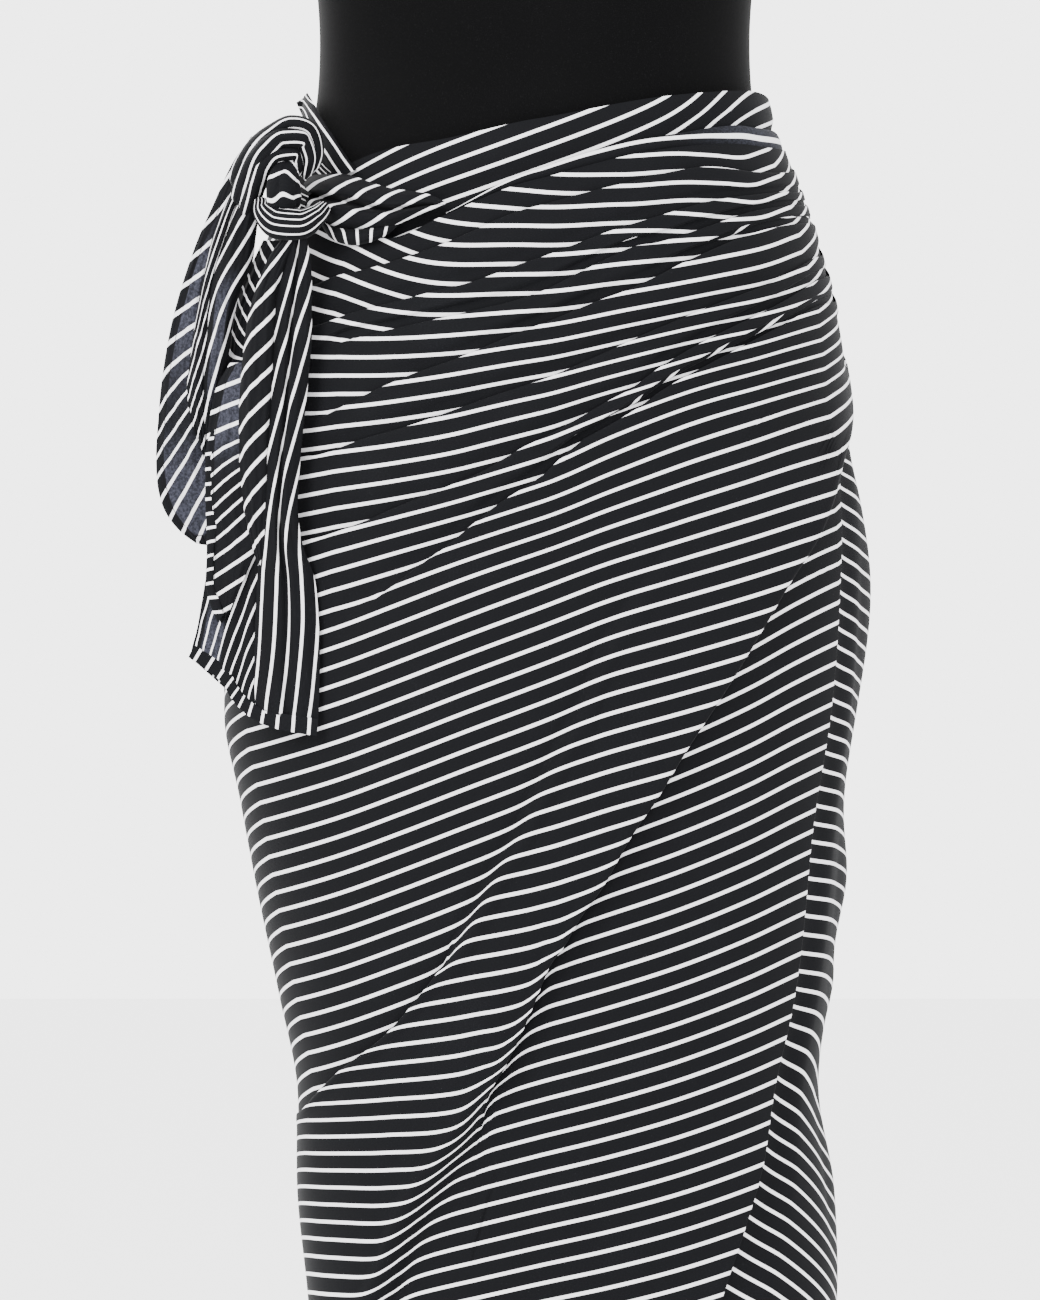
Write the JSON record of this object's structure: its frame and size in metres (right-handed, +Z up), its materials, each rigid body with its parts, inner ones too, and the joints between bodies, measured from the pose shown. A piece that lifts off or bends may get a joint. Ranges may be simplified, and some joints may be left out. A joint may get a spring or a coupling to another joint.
{
  "type": "striped sarong skirt on a dress form",
  "caption": "Long wrap skirt of striped light cotton, a knotted sarong with hanging ends at one hip, worn on a limbless dress form with pole and round base.",
  "frame": {"origin": "centre of the stand's underside, on the floor", "axes": "+Z up along the pole; the form faces -Y and its left side is +X"},
  "size_m": [0.41, 0.34, 1.6058],
  "materials": {
    "cloth": "light cotton voile, charcoal black with thin off-white stripes",
    "hem": "narrow turned hem of the same striped cotton",
    "form_cover": "matt black stretch jersey cover with a faint fuzz",
    "stand_metal": "satin"
  },
  "bodies": {
    "root": {"wrap_front": "cloth", "rolled_edge": "cloth", "corner_band": "cloth", "under_front": "cloth", "wrap_side": "cloth", "wrap_back": "cloth", "knot": "cloth", "knot_leaf": "cloth", "tail_outer": "cloth", "tail_inner": "cloth", "tail_back": "cloth", "hem_free_edge": "hem", "hem_bottom_front": "hem", "hem_bottom_back": "hem", "form_torso": "form_cover", "neck_cap": "stand_metal", "pole": "stand_metal", "base": "stand_metal"}
  },
  "joints": []
}
